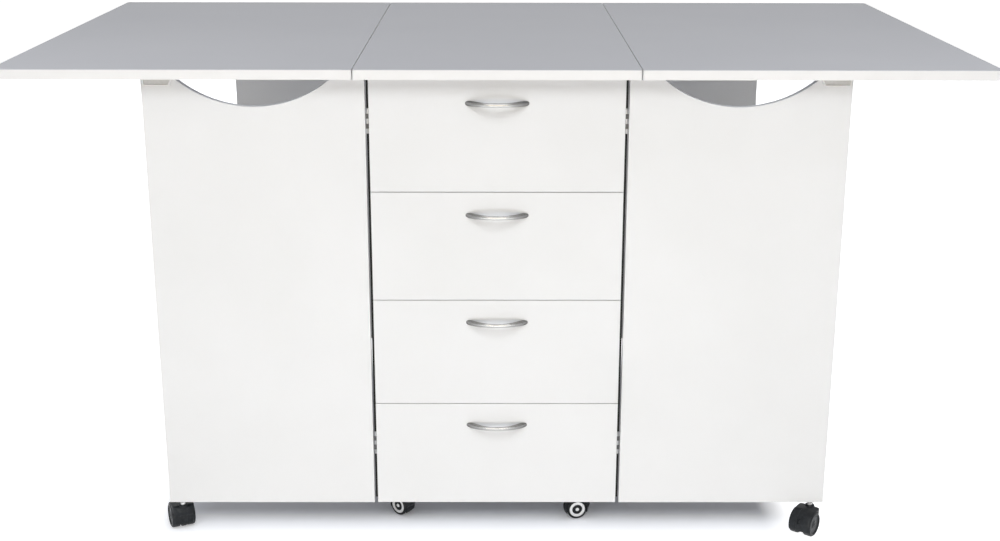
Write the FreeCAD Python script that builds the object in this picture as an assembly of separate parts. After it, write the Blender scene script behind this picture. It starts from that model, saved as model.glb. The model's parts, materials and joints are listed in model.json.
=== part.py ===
import FreeCAD
import Part

import math
import os

from FreeCAD import Vector

# Folding sewing cutting table, in millimetres.
# Origin: on the floor, under the centre of the open table.
# +X is to the right, -Y is the drawer side, +Z is up.
# The stored pose is the open table: both leaves level, all four gates swung out under them.

# ---------------------------------------------------------------- driving dimensions

# The top: one fixed centre board and two drop leaves.
top_height = 900.0
board_thickness = 18.0
top_depth = 1010.0
centre_width = 505.0
leaf_width = 630.0
seam_gap = 1.5
edging_thickness = 1.5
laminate_thickness = 0.8
edging_corner_radius = 3.0

# The chest.
side_overhang = 24.5
front_overhang = 28.0
panel_thickness = 16.0
face_thickness = 16.0
face_bumper_gap = 1.5
chest_bottom = 64.0
rail_depth = 80.0
shelf_count = 2
shelf_side_clearance = 0.5
shelf_rear_setback = 5.0
shelf_partition_gap = 1.0
shelf_pin_radius = 2.5
shelf_pin_in_panel = 8.0
shelf_pin_under_shelf = 9.0
shelf_pin_inset = 45.0

# The drawers.
drawer_count = 4
drawer_face_gap = 1.5
face_bottom = 61.0
face_top_gap = 4.0
runner_space = 12.5
drawer_box_rise = 30.0
drawer_side_height = 140.0
drawer_side_thickness = 12.0
drawer_box_depth = 450.0
drawer_rear_clearance = 11.0
drawer_bottom_thickness = 5.0
drawer_bottom_rise = 10.0
drawer_groove_depth = 5.0

# The drawer runners: a channel in the chest with a smaller channel sliding in it.
runner_height = 35.0
runner_sheet = 1.2
runner_clearance = 0.2
runner_rise = 70.0
runner_setback = 3.0
runner_rear_setback = 7.0

# The bow handles.
handle_length = 114.0
handle_projection = 24.0
handle_grip_depth = 5.5
handle_foot_length = 13.0
handle_foot_height = 10.0
handle_grip_height = 7.2
handle_drop = 42.0
handle_screw_spacing = 96.0
handle_screw_radius = 2.0
handle_screw_in_foot = 3.2
handle_screw_head_radius = 4.0
handle_screw_head_height = 2.4

# The swinging gates.
gate_gap = 6.5
gate_width = 393.5
notch_width = 272.0
notch_depth = 49.0
glide_length = 32.0
glide_width = 12.0
glide_inset = 16.0
glide_clearance = 0.3
glide_peg_radius = 3.0
glide_peg_length = 12.0

# The bumper strips on the side panels, behind the gaps at the gates.
bumper_depth = 9.0
bumper_gate_clearance = 0.5
bumper_hinge_clearance = 1.0

# The stops under the leaves, just outside the open gates.
stop_length = 54.0
stop_height = 15.0
stop_depth = 5.0
stop_slant = 7.0
stop_inset = 4.0
stop_clearance = 0.8

# The gate hinges.
gate_hinge_length = 45.0
gate_hinge_knuckle_radius = 2.9
gate_hinge_pin_radius = 1.5
gate_hinge_sheet = 1.2
gate_hinge_flap = 28.0
gate_hinge_low_inset = 116.5
gate_hinge_high_inset = 77.5

# The leaf hinges.
leaf_hinge_length = 80.0
leaf_hinge_knuckle_radius = 3.0
leaf_hinge_pin_radius = 1.6
leaf_hinge_sheet = 1.5
leaf_hinge_fixed_flap = 22.0
leaf_hinge_leaf_flap = 32.0
leaf_hinge_spacing = 300.0
leaf_hinge_pocket_clearance = 0.3

# Clearances and counts shared by both kinds of hinge.
knuckle_count = 5
knuckle_gap = 0.2
pin_clearance = 0.05
knuckle_relief = 0.4

# The screws.
flap_screw_head_radius = 2.7
flap_screw_radius = 1.5
flap_screw_length = 12.0
carcass_screw_radius = 2.5
carcass_screw_head_radius = 5.0
carcass_screw_head_height = 3.0
carcass_screw_length = 48.0
carcass_screw_inset = 60.0
rail_screw_length = 24.0

# Both kinds of caster.
wheel_rim_radius = 2.5
wheel_dish_share = 0.8
wheel_dish_depth = 2.0
wheel_cap_radius = 3.5
hood_thickness = 2.2
hood_wheel_clearance = 0.8
hood_inset = 1.5
hood_web_width = 10.0
hood_web_clearance = 0.5
hood_toe_height = 5.0
hood_nose_radius = 12.0
hood_nose_offset = 2.0
hood_front_margin = 2.0
hood_boss_radius = 9.0
hood_boss_depth = 22.0
axle_radius = 3.0
stem_radius = 4.0
stem_clearance = 0.06
stem_in_hood = 12.0

# The gate casters: a stem in a socket.
gate_caster_inset = 23.0
gate_wheel_radius = 24.0
gate_caster_half_width = 22.5
gate_caster_trail = 20.5
gate_hood_skirt = 13.0
gate_boss_top = 53.5
stem_in_gate = 34.0
collar_radius = 4.6
collar_gap = 0.2
socket_wall = 1.4
socket_floor = 2.0
socket_flange_radius = 7.5
socket_flange_thickness = 1.5

# The chest casters: a top plate with a bearing cup.
chest_caster_side_inset = 55.0
chest_caster_end_inset = 50.5
chest_wheel_radius = 20.0
chest_caster_half_width = 14.0
chest_caster_trail = 17.5
chest_hood_skirt = 11.0
chest_boss_top = 48.0
trim_ring_radius = 15.5
trim_ring_width = 5.5
trim_ring_thickness = 1.2
plate_size = 46.0
plate_thickness = 2.5
cup_radius = 12.0
cup_gap = 0.2
kingpin_roof = 1.0
plate_screw_spacing = 34.0
plate_screw_radius = 2.0
plate_screw_length = 12.0
plate_screw_head_radius = 3.6
plate_screw_head_height = 2.0

# The direction in which each caster trails, in degrees from +X.
gate_caster_angles = {
    "front_left": 114.0,
    "front_right": 233.0,
    "rear_left": 56.0,
    "rear_right": 303.0,
}
chest_caster_angles = {
    "front_left": 140.0,
    "front_right": 192.0,
    "rear_left": 40.0,
    "rear_right": 348.0,
}

# ---------------------------------------------------------------- derived places

board_bottom = top_height - board_thickness
half_depth = top_depth / 2
half_centre = centre_width / 2
seam_x = half_centre + seam_gap / 2
half_width = half_centre + seam_gap + leaf_width

half_chest = half_centre - side_overhang
inner_half = half_chest - panel_thickness
face_distance = half_depth - front_overhang
face_back = face_distance - face_thickness
chest_edge = face_back - face_bumper_gap
floor_top = chest_bottom + panel_thickness

face_top = board_bottom - face_top_gap
drawer_pitch = (face_top - face_bottom + drawer_face_gap) / drawer_count
face_height = drawer_pitch - drawer_face_gap
box_half = inner_half - runner_space
box_back = -face_back + drawer_box_depth
partition_front = box_back + drawer_rear_clearance
partition_back = partition_front + panel_thickness
runner_length = drawer_box_depth - runner_setback - runner_rear_setback

gate_top = face_top
gate_inner_edge = half_chest + gate_gap
gate_outer_edge = gate_inner_edge + gate_width
gate_hinge_low = face_bottom + gate_hinge_low_inset
gate_hinge_high = gate_top - gate_hinge_high_inset
hinge_x = half_chest + gate_gap / 2
hinge_y = face_back - gate_gap / 2
gate_middle = face_distance - face_thickness / 2
bumper_before_pin = gate_gap / 2 - face_bumper_gap
bumper_reach = gate_gap / 2 - bumper_gate_clearance
bumper_beyond_pin = math.sqrt(bumper_reach**2 - bumper_before_pin**2)

gate_caster_x = gate_outer_edge - gate_caster_inset
chest_caster_x = half_chest - chest_caster_side_inset
chest_caster_y = chest_edge - chest_caster_end_inset

SIDES = {"left": -1, "right": 1}
ENDS = {"front": -1, "rear": 1}
CORNERS = [(end, side) for end in ENDS for side in SIDES]

# ---------------------------------------------------------------- helpers


def block(x_range, y_range, z_range):
    """A box between two values on each axis, given in either order."""
    low = Vector(min(x_range), min(y_range), min(z_range))
    high = Vector(max(x_range), max(y_range), max(z_range))
    size = high - low
    return Part.makeBox(size.x, size.y, size.z, low)


def rod(radius, start, end):
    """A round bar from one point to another."""
    return Part.makeCylinder(radius, (end - start).Length, start, end - start)


def cone(start_radius, end_radius, start, end):
    """A tapered bar from one point to another."""
    return Part.makeCone(start_radius, end_radius, (end - start).Length, start, end - start)


def to_corner(shape, end, side):
    """Mirror a front left shape to another corner."""
    if SIDES[side] > 0:
        shape = shape.mirror(Vector(0, 0, 0), Vector(1, 0, 0))
    if ENDS[end] > 0:
        shape = shape.mirror(Vector(0, 0, 0), Vector(0, 1, 0))
    return shape


def to_side(shape, side):
    """Mirror a left shape to either side."""
    return to_corner(shape, "front", side)


def save(name, *shapes):
    """Write one node: a single solid, or a group of separate solids."""
    solids = [solid for shape in shapes for solid in shape.Solids]
    node = solids[0] if len(solids) == 1 else Part.makeCompound(solids)
    node.exportStep(f"parts/{name}.step")


# ---------------------------------------------------------------- hinges


class Hinge:
    """A butt hinge about a pin.

    Each flap is a plate that runs off along its own direction and lies against its own panel.
    The panel's normal points from the pin to the panel, and reach is the distance of the
    panel's face from the pin.
    """

    def __init__(self, centre, length, knuckle_radius, pin_radius, sheet, reach):
        self.centre = centre
        self.length = length
        self.knuckle_radius = knuckle_radius
        self.pin_radius = pin_radius
        self.sheet = sheet
        self.reach = reach

    def place(self, shape, along, normal):
        """Turn a flap drawn along X, against a panel on the +Y side, into its place."""
        turn = FreeCAD.Rotation(along, normal, along.cross(normal), "XYZ")
        shape.Placement = FreeCAD.Placement(self.centre, turn)
        return shape

    def knuckles(self, own):
        """The spans along the pin of the fixed flap's knuckles, or of the moving flap's."""
        pitch = self.length / knuckle_count
        for index in range(0 if own == "fixed" else 1, knuckle_count, 2):
            start = -self.length / 2 + index * pitch
            yield start + knuckle_gap / 2, start + pitch - knuckle_gap / 2

    def screw_places(self, width, screws):
        """Screw positions on a flap, as distances along the flap and along the pin."""
        for index in range(screws):
            yield width * 0.6, self.length * (0.5 + index - screws / 2) / screws

    def flap(self, own, width, screws, along, normal):
        """One flap, with its knuckles, pin bore and countersunk holes."""
        near, far = self.reach - self.sheet, self.reach
        start = self.knuckle_radius + knuckle_relief
        shape = block((start, width), (near, far), (-self.length / 2, self.length / 2))
        for low, high in self.knuckles(own):
            barrel = rod(self.knuckle_radius, Vector(0, 0, low), Vector(0, 0, high))
            tongue = block((0, start), (near, far), (low, high))
            shape = shape.fuse(barrel).fuse(tongue)
        bore_end = Vector(0, 0, self.length)
        shape = shape.cut(rod(self.pin_radius + pin_clearance, -bore_end, bore_end))
        for screw in self.screw_shapes(width, screws):
            shape = shape.cut(screw)
        return self.place(shape.removeSplitter(), along, normal)

    def screw_shapes(self, width, screws):
        """Countersunk screws in the flap's own frame, flush with the plate."""
        for x, z in self.screw_places(width, screws):
            top = Vector(x, self.reach - self.sheet, z)
            seat = Vector(x, self.reach, z)
            tip = Vector(x, self.reach + flap_screw_length, z)
            head = cone(flap_screw_head_radius, flap_screw_radius, top, seat)
            yield head.fuse(rod(flap_screw_radius, seat, tip))

    def screws(self, width, screws, along, normal):
        """The flap's screws in their place."""
        return [self.place(screw, along, normal) for screw in self.screw_shapes(width, screws)]

    def pin(self, axis):
        """The hinge pin."""
        half = axis * (self.length / 2)
        return rod(self.pin_radius, self.centre - half, self.centre + half)


LEFT, RIGHT = Vector(-1, 0, 0), Vector(1, 0, 0)
FRONT, REAR = Vector(0, -1, 0), Vector(0, 1, 0)
UP, DOWN = Vector(0, 0, 1), Vector(0, 0, -1)
GATE_FLAP_SCREWS = 2
LEAF_FLAP_SCREWS = 3


def gate_hinges():
    """The two hinges of the front left gate."""
    for height in (gate_hinge_low, gate_hinge_high):
        yield Hinge(
            Vector(-hinge_x, -hinge_y, height),
            gate_hinge_length,
            gate_hinge_knuckle_radius,
            gate_hinge_pin_radius,
            gate_hinge_sheet,
            gate_gap / 2,
        )


def leaf_hinges():
    """The hinges of the left leaf, with their pins in the plane of the boards' undersides."""
    for row in (-1, 0, 1):
        yield Hinge(
            Vector(-seam_x, row * leaf_hinge_spacing, board_bottom),
            leaf_hinge_length,
            leaf_hinge_knuckle_radius,
            leaf_hinge_pin_radius,
            leaf_hinge_sheet,
            0.0,
        )


def gate_frame_flaps():
    """The front left gate's flaps on the chest side."""
    return [h.flap("fixed", gate_hinge_flap, GATE_FLAP_SCREWS, REAR, RIGHT) for h in gate_hinges()]


def gate_frame_screws():
    """The screws of those flaps."""
    flap = (gate_hinge_flap, GATE_FLAP_SCREWS, REAR, RIGHT)
    return [screw for hinge in gate_hinges() for screw in hinge.screws(*flap)]


def gate_flaps():
    """The front left gate's own flaps."""
    return [h.flap("moving", gate_hinge_flap, GATE_FLAP_SCREWS, LEFT, FRONT) for h in gate_hinges()]


def gate_flap_screws():
    """The screws of those flaps."""
    flap = (gate_hinge_flap, GATE_FLAP_SCREWS, LEFT, FRONT)
    return [screw for hinge in gate_hinges() for screw in hinge.screws(*flap)]


def leaf_frame_flaps():
    """The left leaf's flaps under the centre board."""
    flap = (leaf_hinge_fixed_flap, LEAF_FLAP_SCREWS, RIGHT, UP)
    return [hinge.flap("fixed", *flap) for hinge in leaf_hinges()]


def leaf_frame_screws():
    """The screws of those flaps."""
    flap = (leaf_hinge_fixed_flap, LEAF_FLAP_SCREWS, RIGHT, UP)
    return [screw for hinge in leaf_hinges() for screw in hinge.screws(*flap)]


def leaf_flaps():
    """The left leaf's own flaps."""
    flap = (leaf_hinge_leaf_flap, LEAF_FLAP_SCREWS, LEFT, UP)
    return [hinge.flap("moving", *flap) for hinge in leaf_hinges()]


def leaf_flap_screws():
    """The screws of those flaps."""
    flap = (leaf_hinge_leaf_flap, LEAF_FLAP_SCREWS, LEFT, UP)
    return [screw for hinge in leaf_hinges() for screw in hinge.screws(*flap)]


def knuckle_pockets():
    """The pockets in the board edges that hold the left leaf's knuckles."""
    reach = Vector(0, leaf_hinge_length / 2 + leaf_hinge_pocket_clearance, 0)
    radius = leaf_hinge_knuckle_radius + leaf_hinge_pocket_clearance
    return [rod(radius, h.centre - reach, h.centre + reach) for h in leaf_hinges()]


# ---------------------------------------------------------------- the top


def board(x_range):
    """A board of the top: its core under a laminate sheet, and the edging under that sheet."""
    outer = block(x_range, (-half_depth, half_depth), (board_bottom, top_height))
    corners = [edge for edge in outer.Edges if abs(edge.Length - board_thickness) < 1e-6]
    outer = outer.makeFillet(edging_corner_radius, corners)
    low, high = min(x_range) + edging_thickness, max(x_range) - edging_thickness
    inner_depth = half_depth - edging_thickness
    core = block((low, high), (-inner_depth, inner_depth), (board_bottom, top_height))
    reach = (-half_depth, half_depth)
    sheet = outer.common(block(x_range, reach, (top_height - laminate_thickness, top_height)))
    core = core.fuse(sheet).removeSplitter()
    return core, outer.cut(core)


def cut_all(shape, tools):
    """Cut every tool from a shape."""
    return shape.cut(Part.makeCompound(list(tools)))


def save_top():
    """The centre board, the two leaves, their edging, hinges and gate stops."""
    pockets = knuckle_pockets()
    both_pockets = pockets + [to_side(pocket, "right") for pocket in pockets]
    frame_screws = leaf_frame_screws()
    both_screws = frame_screws + [to_side(screw, "right") for screw in frame_screws]
    core, band = board((-half_centre, half_centre))
    core = cut_all(core, both_pockets + both_screws + list(rail_screws()))
    save("centre_top", core)
    save("centre_top_edging", cut_all(band, both_pockets))

    core, band = board((-half_centre - seam_gap, -half_width))
    band = cut_all(band, pockets)
    core = cut_all(core, pockets + leaf_flap_screws())
    for side in SIDES:
        save(f"{side}_leaf", to_side(core, side))
        save(f"{side}_leaf_edging", to_side(band, side))
        flaps = leaf_flaps() + leaf_flap_screws()
        save(f"{side}_leaf_hinge_flaps", *[to_side(shape, side) for shape in flaps])
        save(f"{side}_gate_stops", *[to_corner(gate_stop(), end, side) for end in ENDS])

    frames = leaf_frame_flaps()
    save("leaf_hinge_frames", *[to_side(shape, side) for side in SIDES for shape in frames])


def gate_stop():
    """The plate under the left leaf that the front gate swings up to, slanting at its inner end."""
    left = -gate_outer_edge + stop_inset
    right = left + stop_length
    near = -face_distance - stop_clearance
    low = board_bottom - stop_height
    corners = [
        Vector(left, near, board_bottom),
        Vector(left, near, low),
        Vector(right - stop_slant, near, low),
        Vector(right, near, board_bottom),
    ]
    face = Part.Face(Part.makePolygon(corners + corners[:1]))
    return face.extrude(Vector(0, -stop_depth, 0))


# ---------------------------------------------------------------- the chest


def shelf_heights():
    """The height of each shelf's underside, spread evenly in the rear bay."""
    bay = board_bottom - floor_top
    opening = (bay - shelf_count * panel_thickness) / (shelf_count + 1)
    for index in range(shelf_count):
        yield floor_top + (index + 1) * opening + index * panel_thickness


def left_shelf_pins():
    """The pins in the left side panel that carry the shelves."""
    for height in shelf_heights():
        front = partition_back + shelf_pin_inset
        for y in (front, chest_edge - shelf_pin_inset):
            middle = Vector(-inner_half, y, height - shelf_pin_radius)
            start = middle + LEFT * shelf_pin_in_panel
            yield rod(shelf_pin_radius, start, middle + RIGHT * shelf_pin_under_shelf)


def left_carcass_screws():
    """The screws through the left side panel into the floor, the partition and the rails."""
    floor_middle = chest_bottom + panel_thickness / 2
    rail_middle = board_bottom - panel_thickness / 2
    edge = chest_edge - carcass_screw_inset
    places = [(y, floor_middle) for y in (-edge, edge)]
    places += [(y, rail_middle) for y in (-edge, edge)]
    partition_middle = partition_front + panel_thickness / 2
    span = board_bottom - floor_top
    places += [(partition_middle, floor_top + share * span) for share in (0.15, 0.5, 0.85)]
    for y, z in places:
        face = Vector(-half_chest, y, z)
        seat = face + RIGHT * carcass_screw_head_height
        head = cone(carcass_screw_head_radius, carcass_screw_radius, face, seat)
        tip = face + RIGHT * carcass_screw_length
        yield head.fuse(rod(carcass_screw_radius, seat, tip))


def rail_screws():
    """The screws up through the rails into the centre board."""
    low = board_bottom - panel_thickness
    for end in ENDS.values():
        for side in SIDES.values():
            y = end * (chest_edge - rail_depth / 2)
            face = Vector(side * inner_half / 2, y, low)
            seat = face + UP * carcass_screw_head_height
            head = cone(carcass_screw_head_radius, carcass_screw_radius, face, seat)
            yield head.fuse(rod(carcass_screw_radius, seat, face + UP * rail_screw_length))


def left_bumper_strips():
    """The dark strips on the left side panel at the front, one below, between and above the hinges."""
    width = (-hinge_x - bumper_beyond_pin, -half_chest)
    depth = (-chest_edge, -chest_edge + bumper_depth)
    reach = gate_hinge_length / 2 + bumper_hinge_clearance
    ends = [chest_bottom]
    for height in (gate_hinge_low, gate_hinge_high):
        ends += [height - reach, height + reach]
    ends.append(gate_top)
    for low, high in zip(ends[::2], ends[1::2]):
        yield block(width, depth, (low, high))


def save_chest():
    """The panels, rails, shelves and the screws that hold them."""
    screws = list(left_carcass_screws())
    right_screws = [to_side(screw, "right") for screw in screws]
    pins = list(left_shelf_pins())
    hinge_screws = gate_frame_screws()
    rear_hinge_screws = [to_corner(screw, "rear", "left") for screw in hinge_screws]
    tools = screws + pins + hinge_screws + rear_hinge_screws
    height = (chest_bottom, board_bottom)
    depth = (-chest_edge, chest_edge)
    panel = cut_all(block((-half_chest, -inner_half), depth, height), tools)
    for side in SIDES:
        save(f"{side}_side_panel", to_side(panel, side))

    inside = (-inner_half, inner_half)
    both_screws = screws + right_screws
    plate_holes = [hole for corner in CORNERS for hole in plate_screws(*corner)]
    floor = block(inside, depth, (chest_bottom, floor_top))
    save("bottom_panel", cut_all(floor, both_screws + plate_holes))
    partition = block(inside, (partition_front, partition_back), (floor_top, board_bottom))
    save("partition_panel", cut_all(partition, both_screws))
    rail_heights = (board_bottom - panel_thickness, board_bottom)
    rails = []
    for end in ENDS.values():
        rail = block(inside, (end * chest_edge, end * (chest_edge - rail_depth)), rail_heights)
        rails.append(cut_all(rail, both_screws + list(rail_screws())))
    save("top_rails", *rails)

    shelf_width = (-inner_half + shelf_side_clearance, inner_half - shelf_side_clearance)
    shelf_depth = (partition_back + shelf_partition_gap, chest_edge - shelf_rear_setback)
    shelves = []
    for low in shelf_heights():
        shelves.append(block(shelf_width, shelf_depth, (low, low + panel_thickness)))
    save("rear_shelves", *shelves)
    save("shelf_pins", *pins, *[to_side(pin, "right") for pin in pins])

    all_hinge_screws = [to_corner(screw, *corner) for corner in CORNERS for screw in hinge_screws]
    leaf_screws = leaf_frame_screws()
    all_leaf_screws = [to_side(screw, side) for side in SIDES for screw in leaf_screws]
    fasteners = both_screws + list(rail_screws()) + plate_holes
    save("assembly_screws", *fasteners, *all_hinge_screws, *all_leaf_screws)

    frames = gate_frame_flaps()
    save("gate_hinge_frames", *[to_corner(frame, *c) for c in CORNERS for frame in frames])
    gate_pins = [hinge.pin(UP) for hinge in gate_hinges()]
    pins = [to_corner(pin, *corner) for corner in CORNERS for pin in gate_pins]
    pins += [to_side(hinge.pin(REAR), side) for side in SIDES for hinge in leaf_hinges()]
    save("hinge_pins", *pins)
    strips = list(left_bumper_strips())
    save("gate_bumper_strips", *[to_corner(strip, *c) for c in CORNERS for strip in strips])


# ---------------------------------------------------------------- the drawers


def face_base(number):
    """The height of a drawer face's lower edge, drawer 1 being the top one."""
    return face_bottom + (drawer_count - number) * drawer_pitch


def runner_height_of(number):
    """The height of a drawer's runners, at their middle."""
    return face_base(number) + drawer_box_rise + runner_rise


def channel(x_web, x_lips, y_range, middle, height):
    """A sheet channel on its side: a web, and two flanges that reach to x_lips."""
    half = height / 2
    shape = block((x_web, x_lips), y_range, (middle - half, middle + half))
    direction = math.copysign(1.0, x_lips - x_web)
    inner = half - runner_sheet
    hollow = block((x_web + direction * runner_sheet, x_lips), y_range, (middle - inner, middle + inner))
    return shape.cut(hollow)


def left_runner_rail(number):
    """The channel on the left side panel."""
    front = -chest_edge + runner_setback
    lips = -box_half - runner_sheet - runner_clearance
    span = (front, front + runner_length)
    return channel(-inner_half, lips, span, runner_height_of(number), runner_height)


def left_runner_slide(number):
    """The channel on the left of the drawer box, which slides in the rail."""
    front = -chest_edge + runner_setback
    lips = -inner_half + runner_sheet + runner_clearance
    height = runner_height - 2 * runner_sheet - 2 * runner_clearance
    span = (front, front + runner_length)
    return channel(-box_half, lips, span, runner_height_of(number), height)


def handle_middle(number):
    """The point on a drawer's face behind the middle of its handle."""
    return Vector(0, -face_distance, face_base(number) + face_height - handle_drop)


def handle_screw_axes(number):
    """The points on a drawer's face where its handle screws pass."""
    for side in SIDES.values():
        yield handle_middle(number) + RIGHT * (side * handle_screw_spacing / 2)


def drawer_screws(number):
    """The two screws that hold the handle, driven from inside the drawer."""
    inside = -face_back + drawer_side_thickness
    for axis in handle_screw_axes(number):
        seat = Vector(axis.x, inside, axis.z)
        head_end = seat + REAR * handle_screw_head_height
        shank = rod(handle_screw_radius, axis + FRONT * handle_screw_in_foot, seat)
        yield shank.fuse(rod(handle_screw_head_radius, seat, head_end))


def drawer_face(number):
    """A drawer's face panel."""
    low = face_base(number)
    height = (low, low + face_height)
    face = block((-half_chest, half_chest), (-face_distance, -face_back), height)
    return cut_all(face, drawer_screws(number))


def drawer_box(number):
    """The five panels of a drawer box: two sides, front, back and a bottom in grooves."""
    low = face_base(number) + drawer_box_rise
    height = (low, low + drawer_side_height)
    depth = (-face_back, box_back)
    inner = box_half - drawer_side_thickness
    floor_low = low + drawer_bottom_rise
    reach = inner + drawer_groove_depth
    front = -face_back + drawer_side_thickness
    back = box_back - drawer_side_thickness
    floor_depth = (front - drawer_groove_depth, back + drawer_groove_depth)
    floor = block((-reach, reach), floor_depth, (floor_low, floor_low + drawer_bottom_thickness))
    panels = [
        block((-box_half, -inner), depth, height),
        block((inner, box_half), depth, height),
        block((-inner, inner), (-face_back, front), height),
        block((-inner, inner), (back, box_back), height),
    ]
    tools = [floor] + list(drawer_screws(number))
    return [cut_all(panel, tools) for panel in panels] + [floor]


def arc_through(half_span, rise, z):
    """A flat arc over a chord on the drawer face, bulging toward the front."""
    start = Vector(-half_span, 0, z)
    middle = Vector(0, -rise, z)
    return Part.Arc(start, middle, Vector(half_span, 0, z)).toShape()


def handle(number):
    """A bow handle: a crescent in plan, waisted to a thin grip in the middle."""
    half = handle_length / 2
    low = -handle_foot_height / 2
    inner_half_span = half - handle_foot_length
    inner_rise = handle_projection - handle_grip_depth
    outer = arc_through(half, handle_projection, low)
    inner = arc_through(inner_half_span, inner_rise, low)
    feet = [
        Part.makeLine(Vector(side * half, 0, low), Vector(side * inner_half_span, 0, low))
        for side in SIDES.values()
    ]
    outline = Part.Wire(Part.__sortEdges__([outer, inner] + feet))
    crescent = Part.Face(outline).extrude(Vector(0, 0, handle_foot_height))

    grip = handle_grip_height / 2
    foot = handle_foot_height / 2
    waist_end = inner_half_span - handle_foot_length
    edges = []
    for sign in (1, -1):
        left_curve = Part.BSplineCurve()
        points = [
            Vector(-waist_end, 0, sign * grip),
            Vector(-inner_half_span, 0, sign * foot * 0.86),
            Vector(-half + foot, 0, sign * foot),
        ]
        left_curve.interpolate(points)
        right_curve = Part.BSplineCurve()
        right_curve.interpolate([Vector(-point.x, 0, point.z) for point in points])
        edges += [left_curve.toShape(), right_curve.toShape()]
        edges.append(Part.makeLine(points[0], Vector(waist_end, 0, sign * grip)))
    for side in SIDES.values():
        tip = Part.Arc(
            Vector(side * (half - foot), 0, foot),
            Vector(side * half, 0, 0),
            Vector(side * (half - foot), 0, -foot),
        )
        edges.append(tip.toShape())
    profile = Part.Face(Part.Wire(Part.__sortEdges__(edges)))
    waist = profile.extrude(Vector(0, -handle_projection, 0))
    body = crescent.common(waist)
    body.translate(handle_middle(number))
    return cut_all(body, drawer_screws(number))


def save_drawers():
    """Each drawer's face, box and handle, and the rails that the drawers run in."""
    rails = []
    for number in range(1, drawer_count + 1):
        rail, slide = left_runner_rail(number), left_runner_slide(number)
        rails += [to_side(rail, side) for side in SIDES]
        slides = [to_side(slide, side) for side in SIDES]
        save(f"drawer_{number}_face", drawer_face(number))
        save(f"drawer_{number}_box", *drawer_box(number), *slides)
        save(f"drawer_{number}_handle", handle(number), *drawer_screws(number))
    save("drawer_runner_rails", *rails)


# ---------------------------------------------------------------- the gates


def socket_parts():
    """The front left gate's caster socket, and the hole that it fills."""
    radius = stem_radius + stem_clearance + socket_wall
    mouth = Vector(-gate_caster_x, -gate_middle, face_bottom)
    stem_top = mouth + UP * stem_in_gate
    roof = stem_top + UP * socket_floor
    hole = rod(radius, mouth, roof)
    flange = rod(socket_flange_radius, mouth + DOWN * socket_flange_thickness, mouth)
    bore = rod(stem_radius + stem_clearance, mouth + DOWN * socket_flange_thickness, stem_top)
    return hole.fuse(flange).cut(bore), hole


def glide_parts():
    """The front left gate's glide, on which the leaf rests, and the hole for its peg."""
    high = board_bottom - glide_clearance
    left = -gate_outer_edge + glide_inset
    half = glide_width / 2
    depth = (-gate_middle - half, -gate_middle + half)
    pad = block((left, left + glide_length), depth, (gate_top, high))
    peg_top = Vector(left + glide_length / 2, -gate_middle, gate_top)
    peg = rod(glide_peg_radius, peg_top + DOWN * glide_peg_length, peg_top)
    return pad.fuse(peg), peg


def gate_panel():
    """The front left gate's panel, with the half-moon notch in its upper edge."""
    width = (-gate_outer_edge, -gate_inner_edge)
    panel = block(width, (-face_distance, -face_back), (face_bottom, gate_top))
    half = notch_width / 2
    radius = (half ** 2 + notch_depth ** 2) / (2 * notch_depth)
    middle_x = -(gate_outer_edge + gate_inner_edge) / 2
    centre = Vector(middle_x, -face_distance, gate_top - notch_depth + radius)
    notch = rod(radius, centre, centre + REAR * face_thickness)
    tools = [notch, socket_parts()[1], glide_parts()[1]] + gate_flap_screws()
    return cut_all(panel, tools)


def save_gates():
    """Each gate's panel, and its fittings: hinge flaps with screws, caster socket and glide."""
    panel = gate_panel()
    fittings = gate_flaps() + gate_flap_screws() + [socket_parts()[0], glide_parts()[0]]
    for corner in CORNERS:
        name = "_".join(corner)
        save(f"{name}_gate", to_corner(panel, *corner))
        save(f"{name}_gate_fittings", *[to_corner(shape, *corner) for shape in fittings])


# ---------------------------------------------------------------- the casters


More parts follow.
